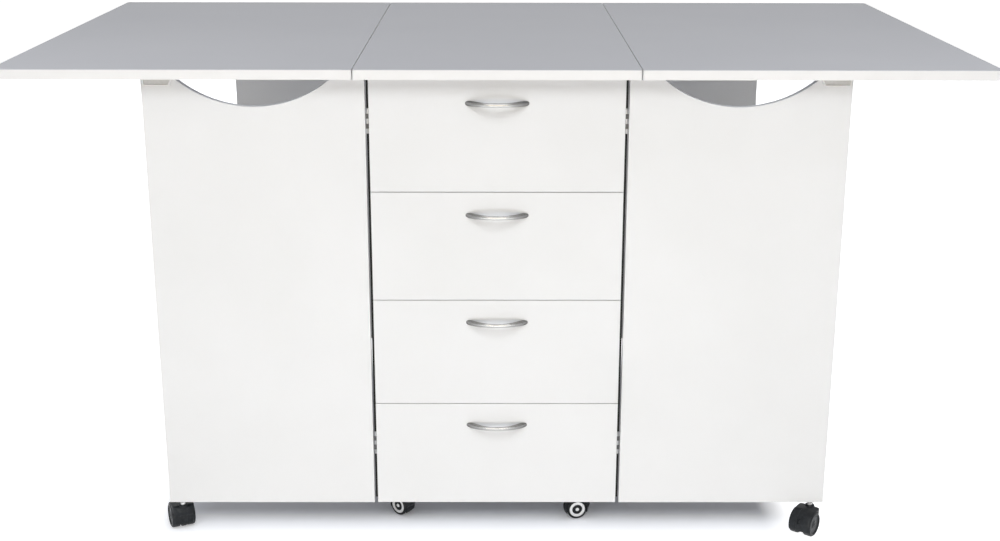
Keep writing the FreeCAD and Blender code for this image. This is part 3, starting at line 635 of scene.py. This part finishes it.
def handle_height(share):
    """Half the handle's height: thin in the middle, swelling to the feet, rounded at the tips."""
    end = abs(2 * share - 1)
    swell = max(0.0, (end - SWELL_START) / (1 - SWELL_START))
    height = HANDLE_GRIP + (HANDLE_FOOT - HANDLE_GRIP) * (3 * swell ** 2 - 2 * swell ** 3)
    tip = max(0.0, (end - TIP_START) / (1 - TIP_START))
    return height * math.sqrt(1 - TIP_TAPER * tip ** 2)


def squarish(value):
    """A sine or cosine, bent so that its circle is a little squarer."""
    return math.copysign(abs(value) ** HANDLE_SQUARENESS, value)


def bow_handle(number):
    """A drawer's handle: a bow of changing section, and its two screws inside the drawer."""
    name = f"drawer_{number}_handle"
    low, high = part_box(name)
    height = (low.z + high.z) / 2
    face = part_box(f"drawer_{number}_face")[0].y
    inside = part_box(f"drawer_{number}_box")[0].y + BOX_FRONT_THICKNESS
    mesh = bmesh.new()
    rings = []
    for index in range(HANDLE_STATIONS + 1):
        share = index / HANDLE_STATIONS
        outer = on_arc(HANDLE_HALF, HANDLE_RISE, share)
        inner = on_arc(HANDLE_INNER_HALF, HANDLE_INNER_RISE, share)
        middle, reach = (outer + inner) / 2, (outer - inner) / 2
        half = handle_height(share)
        ring = []
        for step in range(HANDLE_AROUND):
            angle = 2 * math.pi * step / HANDLE_AROUND
            spot = middle + reach * squarish(math.cos(angle))
            up = half * squarish(math.sin(angle))
            ring.append(Vector((spot.x, face - max(spot.y, 0.0), height + up)))
        rings.append(ring)
    loft(mesh, rings)
    for side in SIDES.values():
        centre = Matrix.Translation((side * HANDLE_SCREW_SPACING / 2, inside, height))
        cross_screw(mesh, centre @ Matrix.Rotation(math.radians(-90), 4, "X"))
    screw = SLOT_LOOKS["screw_steel"]
    piece(f"bow_handle_{number}", mesh, f"drawer_{number}", "handle_nickel", name, screw)


# ---------------------------------------------------------------- casters

HOOD_INSET = 1.5 * MM
HOOD_THICKNESS = 2.2 * MM
HOOD_CLEARANCE = 0.8 * MM
HOOD_CROWN = 1.2 * MM
HOOD_STEPS = 96
SKIRT_THICKNESS_SHARE = 0.5
NOSE_RADIUS = 12.0 * MM
NOSE_OFFSET = 2.0 * MM
FRONT_MARGIN = 2.0 * MM
TOE_HEIGHT = 5.0 * MM

# The hood's rounded sides, as shares of its half width.
FLANK = (1.0, 0.985, 0.955, 0.9, 0.8, 0.6, 0.4)
FLANK_START = 0.9
FLANK_DROP = 0.9 * MM

# The web between the wheels, and the small forms on the hood's trailing side.
HALF_WEB = 5.0 * MM
WEB_SOFT_WIDTH = 0.4 * MM
WEB_SOFT_DEPTH = 0.6 * MM
WEB_OVERLAP = 0.2 * MM
WEB_STEPS = 12
SPINE_HEIGHT = 0.4 * MM
LUG_HEIGHT, LUG_START, LUG_END = 1.6 * MM, 0.50, 0.72
SLOT_DEPTH, SLOT_START, SLOT_HALF = 1.2 * MM, 0.22, 2.6 * MM
STEP_WIDTH = 0.2 * MM

# Wheels, boss and stem, in millimetres as their profiles are.
INNER_FACE = 5.5
TREAD_START = 7.5
MOULD_LINE_DEPTH = 0.35
DISH_SHARE = 0.8
DISH_DEPTH = 1.9
HUB_RADIUS = 7.0
CAP_RADIUS = 4.2
RING_INNER, RING_OUTER, RING_SUNK = 10.0, 15.5, 0.7
TRIM_CAP = 3.6
AXLE_RADIUS = 3.0
BOSS_RADIUS = 9.0
BOSS_DEPTH = 22.0
STEM_RADIUS = 4.0
COLLAR_RADIUS = 4.6
COLLAR_TOP = 59.3
GATE_STEM_TOP = 94.8
CHEST_STEM_TOP = 60.3

WHEEL_SEGMENTS, BOSS_SEGMENTS, STEM_SEGMENTS, AXLE_SEGMENTS = 72, 48, 32, 24


class Caster:
    """One kind of caster, from sizes in millimetres. Its profiles work in them, the rest in metres."""

    def __init__(self, wheel_radius, half_width, trail, skirt, boss_top):
        self.tread, self.face, self.boss_top = wheel_radius, half_width, boss_top
        self.radius = wheel_radius * MM
        self.half_width = half_width * MM
        self.trail = trail * MM
        self.hood_inner = self.radius + HOOD_CLEARANCE
        self.hood_outer = self.hood_inner + HOOD_THICKNESS
        self.skirt_angle = math.asin((skirt * MM - self.radius) / self.hood_outer)
        self.toe_angle = math.asin((TOE_HEIGHT - self.radius) / self.hood_inner)

    def wheel_profile(self):
        """One wheel from its inner face to its cap: tread with a mould line, rim, dish, hub."""
        tread, face = self.tread, self.face
        line = (TREAD_START + face) / 2
        groove = tread - MOULD_LINE_DEPTH
        dish, sunk = tread * DISH_SHARE, face - DISH_DEPTH
        points = [(0.0, INNER_FACE, 0), (tread - 3.5, INNER_FACE, 0.6)]
        points += [(tread - 2.5, INNER_FACE + 0.8, 0.6), (tread, TREAD_START, 1.2)]
        points += [(tread, line - 0.3, 0), (groove, line - 0.1, 0)]
        points += [(groove, line + 0.1, 0), (tread, line + 0.3, 0)]
        points += [(tread, face - 2.1, 1.6), (tread - 2.2, face, 0.9), (dish, face, 0.5)]
        points += [(dish - 0.8, sunk, 0.5), (dish - 3.0, sunk - 0.3, 0.3), (dish - 3.4, sunk, 0.3)]
        points += [(HUB_RADIUS + 1.0, sunk, 0.6), (HUB_RADIUS, face - 1.0, 0.6)]
        points += [(CAP_RADIUS, face - 0.8, 0.3), (CAP_RADIUS - 0.3, face - 1.3, 0.2)]
        points += [(CAP_RADIUS - 0.6, face - 0.8, 0.5), (2.2, face - 0.2, 0.6), (0.0, face, 0)]
        return rounded(points)

    def ring_profile(self):
        """The bright ring that lies in the wheel's dish."""
        low, high = self.face - 2.1, self.face - RING_SUNK
        points = [(RING_INNER, low, 0), (RING_INNER, high, 0.5), (RING_OUTER, high, 0.5)]
        return rounded(points + [(RING_OUTER, low, 0)])

    def cap_profile(self):
        """The bright cap at the middle of the wheel."""
        face = self.face
        return rounded([(TRIM_CAP, face - 1.4, 0), (TRIM_CAP, face - 0.3, 0.6), (0, face, 0)])

    def boss_profile(self):
        """The boss round the stem, from inside the hood to its rounded top."""
        top = self.boss_top
        foot = top - BOSS_DEPTH
        points = [(0, foot, 0), (BOSS_RADIUS - 2.5, foot, 3), (BOSS_RADIUS, foot + 6, 3)]
        points += [(BOSS_RADIUS, top - 1.4, 1.4), (BOSS_RADIUS - 1.6, top, 0.6), (STEM_RADIUS, top, 0)]
        return rounded(points)

    def stem_profile(self, kind):
        """The bright stem above the boss: with a collar on a gate, and short under the chest."""
        top = self.boss_top
        points = [(STEM_RADIUS - 0.1, top - 0.2, 0)]
        if kind == "gate":
            points += [(COLLAR_RADIUS, top, 0.2), (COLLAR_RADIUS, COLLAR_TOP, 0.3)]
            points += [(STEM_RADIUS, COLLAR_TOP + 0.1, 0), (STEM_RADIUS, GATE_STEM_TOP - 0.4, 0.6)]
            points += [(0, GATE_STEM_TOP, 0)]
        else:
            points += [(STEM_RADIUS, top + 0.1, 0), (STEM_RADIUS, CHEST_STEM_TOP - 0.5, 0.6)]
            points += [(0, CHEST_STEM_TOP, 0)]
        return rounded(points)

    def hood_angles(self):
        """The angles round the hood, from its trailing skirt over the top to the front."""
        start, turn = self.skirt_angle, math.pi - 2 * self.skirt_angle
        return [start + turn * step / HOOD_STEPS for step in range(HOOD_STEPS + 1)]

    def hood_point(self, radius, angle, across):
        """A point of the hood in the axle's frame, kept inside the rounded plan at the front."""
        along, up = radius * math.cos(angle), radius * math.sin(angle)
        middle = NOSE_OFFSET - NOSE_RADIUS - FRONT_MARGIN + self.half_width - self.trail
        limit = middle - math.sqrt(max(0.0, self.half_width ** 2 - across ** 2))
        return Vector((max(along, limit), across, up))

    def hood_reach(self, angle):
        """The hood's outline from the axle: round over the wheels, with a nose over the stem."""
        centre = Vector((NOSE_OFFSET - self.trail, self.hood_outer - NOSE_RADIUS))
        along = Vector((math.cos(angle), math.sin(angle)))
        if along.x >= 0:
            return self.hood_outer
        if along.x * self.hood_outer > centre.x * along.y:
            return self.hood_outer / along.y
        middle = centre.dot(along)
        inside = middle ** 2 - centre.length_squared + NOSE_RADIUS ** 2
        if inside <= 0:
            return self.hood_outer
        return max(self.hood_outer, middle + math.sqrt(inside))


CASTERS = {
    "gate": Caster(wheel_radius=24.0, half_width=22.5, trail=20.5, skirt=13.0, boss_top=53.5),
    "chest": Caster(wheel_radius=20.0, half_width=14.0, trail=17.5, skirt=11.0, boss_top=48.0),
}


def joint_place(name):
    """Where a joint's axis stands."""
    return Vector(next(joint["pos_m"] for joint in frame["joints"] if joint["name"] == name))


def caster_place(name):
    """The caster's own frame: the swivel axis is Z, and the wheels trail toward +X."""
    axle, stem = joint_place(f"{name}_spin"), joint_place(f"{name}_turn")
    angle = math.atan2(axle.y - stem.y, axle.x - stem.x)
    return Matrix.Translation((stem.x, stem.y, 0)) @ Matrix.Rotation(angle, 4, "Z")


def axle_place(name, caster):
    """The caster's frame, moved to the middle of its axle."""
    return caster_place(name) @ Matrix.Translation((caster.trail, 0, caster.radius))


def caster_wheels(name, kind):
    """The twin wheels and axle, with a bright ring and cap on the chest casters."""
    caster = CASTERS[kind]
    place = axle_place(name, caster)
    mesh = bmesh.new()
    for sign in (1, -1):
        outward = place @ Matrix.Rotation(math.radians(-90 * sign), 4, "X")
        lathe(mesh, caster.wheel_profile(), outward, WHEEL_SEGMENTS)
        if kind == "chest":
            lathe(mesh, caster.ring_profile(), outward, WHEEL_SEGMENTS, EXTRA)
            lathe(mesh, caster.cap_profile(), outward, STEM_SEGMENTS, EXTRA)
    axle = [Vector((AXLE_RADIUS, sign * INNER_FACE)) * MM for sign in (-1, 1)]
    across = place @ Matrix.Rotation(math.radians(90), 4, "X")
    lathe(mesh, axle, across, AXLE_SEGMENTS, EXTRA)
    piece(f"{name}_twin_wheels", mesh, f"{name}_roll", "caster_black", f"{name}_wheels", PLATED)


def hood_relief(angle, across):
    """The hood's small forms: a spine, a lug and a slot on its trailing side."""
    if abs(across) >= HALF_WEB:
        return 0.0
    if LUG_START < angle < LUG_END:
        return LUG_HEIGHT
    if SLOT_START < angle < LUG_START and abs(across) < SLOT_HALF:
        return -SLOT_DEPTH
    return SPINE_HEIGHT


def across_hood(half):
    """Places across the hood, close together at its sides and where its relief steps."""
    outer = [half * share for share in FLANK]
    for edge in (HALF_WEB, SLOT_HALF):
        outer += [edge + STEP_WIDTH, edge - STEP_WIDTH]
    return [-value for value in outer] + [0.0] + outer[::-1]


def hood_shell(mesh, caster, axle):
    """The hood's shell over the wheels, crowned and rounded at its sides."""
    half = caster.half_width - HOOD_INSET
    inner = caster.hood_inner
    angles = caster.hood_angles()
    rings = []
    for angle in angles:
        ring = []
        for across in across_hood(half):
            share = abs(across) / half
            side = max(0.0, (share - FLANK_START) / (1 - FLANK_START))
            drop = HOOD_CROWN * share ** 4 + FLANK_DROP * side ** 2
            radius = caster.hood_reach(angle) - drop + hood_relief(angle, across)
            if angle in (angles[0], angles[-1]):
                radius = inner + (radius - inner) * SKIRT_THICKNESS_SHARE
            ring.append(axle @ caster.hood_point(radius, angle, across))
        for across in (half, -half):
            ring.append(axle @ caster.hood_point(inner, angle, across))
        rings.append(ring)
    loft(mesh, rings)


def hood_web(mesh, caster, axle):
    """The web between the wheels, down to its toe at the front."""
    start, low = caster.skirt_angle, caster.toe_angle
    angles = caster.hood_angles()
    for step in range(1, WEB_STEPS + 1):
        angles.append(math.pi - start + (start - low) * step / WEB_STEPS)
    shoulder = HALF_WEB - WEB_SOFT_WIDTH
    sides = [(-HALF_WEB, WEB_SOFT_DEPTH), (-shoulder, 0.0)]
    sides += [(shoulder, 0.0), (HALF_WEB, WEB_SOFT_DEPTH)]
    web = []
    for across, sunk in sides:
        radius = caster.hood_inner + WEB_OVERLAP - sunk
        spots = [(radius * math.cos(angle), radius * math.sin(angle)) for angle in angles]
        spots += [(0.0, radius * math.sin(low)), (0.0, radius * math.sin(start))]
        web.append([axle @ Vector((along, across, up)) for along, up in spots])
    loft(mesh, web)


def caster_hood(name, kind):
    """The moulded hood: a shell over the wheels, the web between them, the boss and the stem."""
    caster = CASTERS[kind]
    place, axle = caster_place(name), axle_place(name, caster)
    mesh = bmesh.new()
    hood_shell(mesh, caster, axle)
    hood_web(mesh, caster, axle)
    lathe(mesh, caster.boss_profile(), place, BOSS_SEGMENTS)
    lathe(mesh, caster.stem_profile(kind), place, STEM_SEGMENTS, EXTRA)
    piece(f"{name}_shell", mesh, f"{name}_swivel", "caster_black", f"{name}_hood", PLATED)


# ---------------------------------------------------------------- stage

WHITE = (1.0, 1.0, 1.0, 1.0)
FLOOR_GREY = (0.83, 0.85, 0.90, 1.0)
FLOOR_REACH = 60.0
# For the camera and in reflections, the floor glows outside a patch under the table: its
# middle, its half sizes, and the width of the change on each axis.
GLOW_CENTRE = (-0.05, 0.0)
GLOW_STARTS = (0.57, 0.38)
GLOW_SPANS = (0.07, 0.19)
WORLD_STRENGTH = 0.07
SHADE_TINT = (1.0, 0.92, 0.79, 1.0)


def floor_look():
    """A floor seen as white away from the table, and by its shadow under it."""
    look = Look("floor_white", Base_Color=FLOOR_GREY, Roughness=1.0, Specular_IOR_Level=0.0)
    look.feed(look.shader.inputs["Emission Color"], WHITE)
    squares = 0.0
    for axis, centre, start, span in zip("XY", GLOW_CENTRE, GLOW_STARTS, GLOW_SPANS):
        distance = look.compute("ABSOLUTE", look.compute("SUBTRACT", look.along(axis), centre))
        beyond = look.spread(distance, (start, start + span))
        squares = look.compute("MULTIPLY_ADD", beyond, beyond, squares)
    away = look.spread(look.compute("SQRT", squares), (0.0, 1.0))
    rays = look.nodes.new("ShaderNodeLightPath").outputs
    seen = look.compute("MAXIMUM", rays["Is Camera Ray"], rays["Is Glossy Ray"])
    look.feed(look.shader.inputs["Emission Strength"], look.compute("MULTIPLY", seen, away))
    return look.material


def floor():
    """A plain white floor that keeps the object's shadow."""
    mesh = bmesh.new()
    bmesh.ops.create_grid(mesh, x_segments=1, y_segments=1, size=FLOOR_REACH)
    data = bpy.data.meshes.new("floor")
    mesh.to_mesh(data)
    mesh.free()
    data.materials.append(floor_look())
    made = bpy.data.objects.new("floor", data)
    bpy.context.scene.collection.objects.link(made)


def world():
    """An even white surround, seen as white by the camera and in reflections."""
    surround = bpy.data.worlds.new("surround")
    bpy.context.scene.world = surround
    surround.use_nodes = True
    graph = Graph(surround.node_tree)
    rays = graph.nodes.new("ShaderNodeLightPath").outputs
    seen = rays["Is Camera Ray"]
    for name in ("Is Glossy Ray", "Is Transmission Ray"):
        seen = graph.compute("MAXIMUM", seen, rays[name])
    background = graph.find("BACKGROUND")
    graph.feed(background.inputs["Strength"], graph.spread(seen, (0.0, 1.0), (WORLD_STRENGTH, 1.0)))
    graph.feed(background.inputs["Color"], graph.mix(seen, SHADE_TINT, WHITE))


# ---------------------------------------------------------------- light and camera

PLAIN_LIGHT = (1.0, 1.0, 1.0)
COOL_LIGHT = (0.945, 0.97, 1.0)
WARM_LIGHT = (1.0, 0.86, 0.64)

SENSOR_WIDTH = 36.0
LENS = 52.34
CAMERA_PLACE = (-0.0040, -3.0225, 1.3039)
CAMERA_TURN = math.radians(-0.2147)
CAMERA_TILT = math.radians(90 - 16.973)
CAMERA_ROLL = math.radians(0.11)


def lamp(name, where, target, size, power, colour=PLAIN_LIGHT, mirrored=True):
    """A soft rectangular light aimed at a point, seen in reflections or not."""
    data = bpy.data.lights.new(name, "AREA")
    data.shape = "RECTANGLE"
    data.size, data.size_y = size
    data.energy = power
    data.color = colour
    made = bpy.data.objects.new(name, data)
    made.location = where
    aim = Vector(target) - Vector(where)
    made.rotation_euler = aim.to_track_quat("-Z", "Y").to_euler()
    made.visible_camera = False
    made.visible_glossy = mirrored
    bpy.context.scene.collection.objects.link(made)


def side_lights(side, across):
    """One side's lamps: a key in front, one into the space under the leaf, one over the leaf's end."""
    lamp(
        f"front_{side}_softbox",
        where=(across * 1.8, -5.2, 5.3),
        target=(0, -0.3, 0.45),
        size=(3.4, 3.0),
        power=119,
        colour=COOL_LIGHT,
    )
    lamp(
        f"{side}_bay_softbox",
        where=(across * 3.6, 0.4, 1.1),
        target=(across * 0.3, 0.4, 0.45),
        size=(1.3, 1.3),
        power=9,
        mirrored=False,
    )
    lamp(
        f"{side}_end_softbox",
        where=(across * 1.1, -0.85, 1.75),
        target=(across * 0.85, -0.4, 0.9),
        size=(0.6, 0.5),
        power=1.9,
        mirrored=False,
    )


def middle_lights():
    """The lamps low in front, at the foot, over the front edge, behind, and one on the left alone."""
    lamp(
        "low_softbox",
        where=(0, -4.4, 0.4),
        target=(0, -0.4, 0.4),
        size=(4.0, 0.7),
        power=28,
        colour=WARM_LIGHT,
    )
    lamp(
        "foot_softbox",
        where=(0, -1.75, 0.12),
        target=(0, -0.4, 0.02),
        size=(2.6, 0.18),
        power=5.4,
        colour=COOL_LIGHT,
    )
    lamp(
        "front_top_softbox",
        where=(0, -1.7, 2.7),
        target=(0, -0.5, 0.9),
        size=(3.4, 0.8),
        power=3,
        colour=COOL_LIGHT,
    )
    lamp(
        "rear_softbox",
        where=(0, 4.6, 1.7),
        target=(0, 0.4, 0.5),
        size=(4.0, 1.4),
        power=84,
        mirrored=False,
    )
    lamp(
        "left_softbox",
        where=(-3.4, -0.8, 1.0),
        target=(-0.4, -0.2, 0.6),
        size=(1.6, 1.2),
        power=5,
    )


def camera():
    """The photograph's viewpoint."""
    data = bpy.data.cameras.new("camera")
    data.sensor_width = SENSOR_WIDTH
    data.lens = LENS
    made = bpy.data.objects.new("camera", data)
    turn = Matrix.Rotation(CAMERA_TURN, 4, "Z")
    tilt = Matrix.Rotation(CAMERA_TILT, 4, "X")
    roll = Matrix.Rotation(CAMERA_ROLL, 4, "Z")
    made.matrix_world = Matrix.Translation(CAMERA_PLACE) @ turn @ tilt @ roll
    bpy.context.scene.collection.objects.link(made)
    bpy.context.scene.camera = made


# ---------------------------------------------------------------- the whole scene

dress_nodes()
for number in DRAWERS:
    drawer_front(number)
    bow_handle(number)
for side in SIDES:
    gate_stops(side)
for end, side in CORNERS:
    for kind in CASTER_KINDS:
        caster_wheels(f"{end}_{side}_{kind}_caster", kind)
        caster_hood(f"{end}_{side}_{kind}_caster", kind)
floor()
world()
for side, across in SIDES.items():
    side_lights(side, across)
middle_lights()
camera()
bpy.context.scene.view_settings.view_transform = "Standard"
